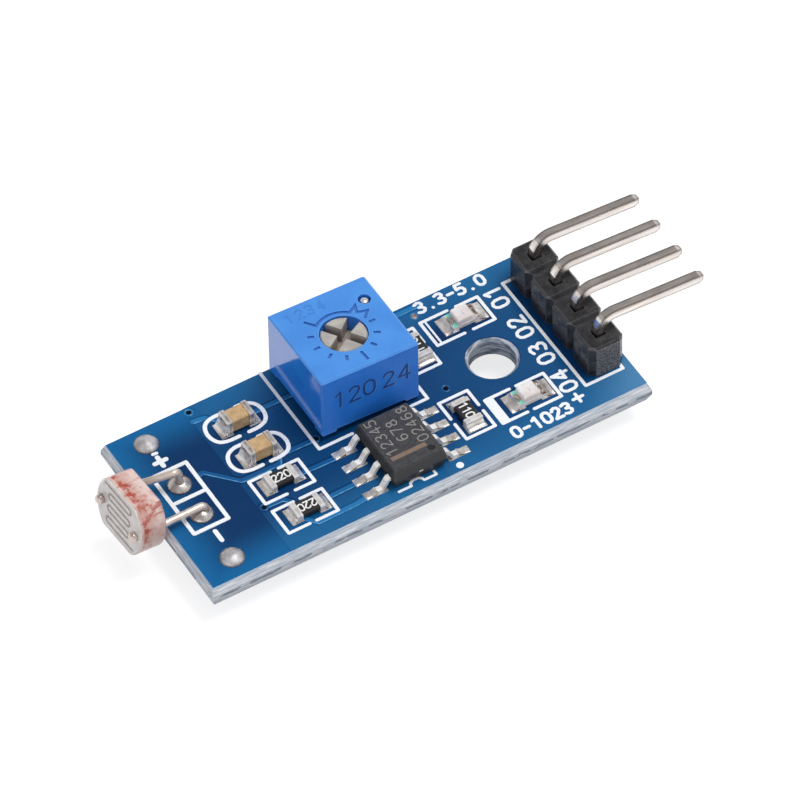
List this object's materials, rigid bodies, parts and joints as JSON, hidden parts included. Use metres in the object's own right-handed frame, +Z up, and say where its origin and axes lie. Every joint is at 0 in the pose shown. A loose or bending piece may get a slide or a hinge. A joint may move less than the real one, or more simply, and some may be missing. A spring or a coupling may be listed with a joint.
{
  "type": "light sensor module",
  "caption": "Small circuit board with a light dependent resistor standing off one end, a square trimmer, a comparator chip and a right-angle pin header at the other end.",
  "frame": {"origin": "centre of the board's underside", "axes": "+X along the board from the light sensor to the pin header, +Z up out of the component side, +Y across the board so that the trimmer is on the +Y half"},
  "size_m": [0.0408, 0.014, 0.0083],
  "materials": {
    "blue_solder_mask": "semi-gloss",
    "black_header_plastic": "satin",
    "bright_tin": "bright plated",
    "solder": "satin",
    "sensor_ceramic": "coated",
    "trimmer_blue": "satin",
    "rotor_plastic": "satin",
    "seal_rubber": "matte",
    "contact_brass": "bright",
    "white_alumina": "matte",
    "base_epoxy": "satin",
    "package_plastic": "matte",
    "resistor_glaze": "glazed",
    "capacitor_ceramic": "satin",
    "lamp_substrate": "satin",
    "lamp_lens": "clear"
  },
  "bodies": {
    "board": {"pcb": "blue_solder_mask", "header_housing": "black_header_plastic", "header_pin_1": "bright_tin", "header_pin_2": "bright_tin", "header_pin_3": "bright_tin", "header_pin_4": "bright_tin", "header_solder_1": "solder", "header_solder_2": "solder", "header_solder_3": "solder", "header_solder_4": "solder", "ldr_disc": "sensor_ceramic", "ldr_lead_1": "bright_tin", "ldr_lead_2": "bright_tin", "ldr_solder_1": "solder", "ldr_solder_2": "solder", "corner_solder_1": "solder", "corner_solder_2": "solder", "trimmer_housing": "trimmer_blue", "trimmer_seal_ring": "seal_rubber", "trimmer_element": "white_alumina", "trimmer_base_seal": "base_epoxy", "trimmer_pin_1": "bright_tin", "trimmer_pin_2": "bright_tin", "trimmer_pin_3": "bright_tin", "trimmer_solder_1": "solder", "trimmer_solder_2": "solder", "trimmer_solder_3": "solder", "comparator_body": "package_plastic", "comparator_lead_1": "bright_tin", "comparator_lead_2": "bright_tin", "comparator_lead_3": "bright_tin", "comparator_lead_4": "bright_tin", "comparator_lead_5": "bright_tin", "comparator_lead_6": "bright_tin", "comparator_lead_7": "bright_tin", "comparator_lead_8": "bright_tin", "resistor_1_body": "resistor_glaze", "resistor_1_cap_a": "bright_tin", "resistor_1_cap_b": "bright_tin", "resistor_2_body": "resistor_glaze", "resistor_2_cap_a": "bright_tin", "resistor_2_cap_b": "bright_tin", "resistor_3_body": "resistor_glaze", "resistor_3_cap_a": "bright_tin", "resistor_3_cap_b": "bright_tin", "resistor_4_body": "resistor_glaze", "resistor_4_cap_a": "bright_tin", "resistor_4_cap_b": "bright_tin", "capacitor_1_body": "capacitor_ceramic", "capacitor_1_cap_a": "bright_tin", "capacitor_1_cap_b": "bright_tin", "capacitor_2_body": "capacitor_ceramic", "capacitor_2_cap_a": "bright_tin", "capacitor_2_cap_b": "bright_tin", "lamp_1_base": "lamp_substrate", "lamp_1_lens": "lamp_lens", "lamp_2_base": "lamp_substrate", "lamp_2_lens": "lamp_lens"},
    "rotor": {"trimmer_rotor": "rotor_plastic", "trimmer_wiper": "contact_brass"}
  },
  "joints": [
    {"name": "rotor_turn", "type": "hinge", "parent": "board", "child": "rotor", "pos_m": [-0.00063, 0.00285, 0.00187], "axis": [0.0302, 0.0379, 0.9988], "range_deg": [-265, 5]}
  ]
}
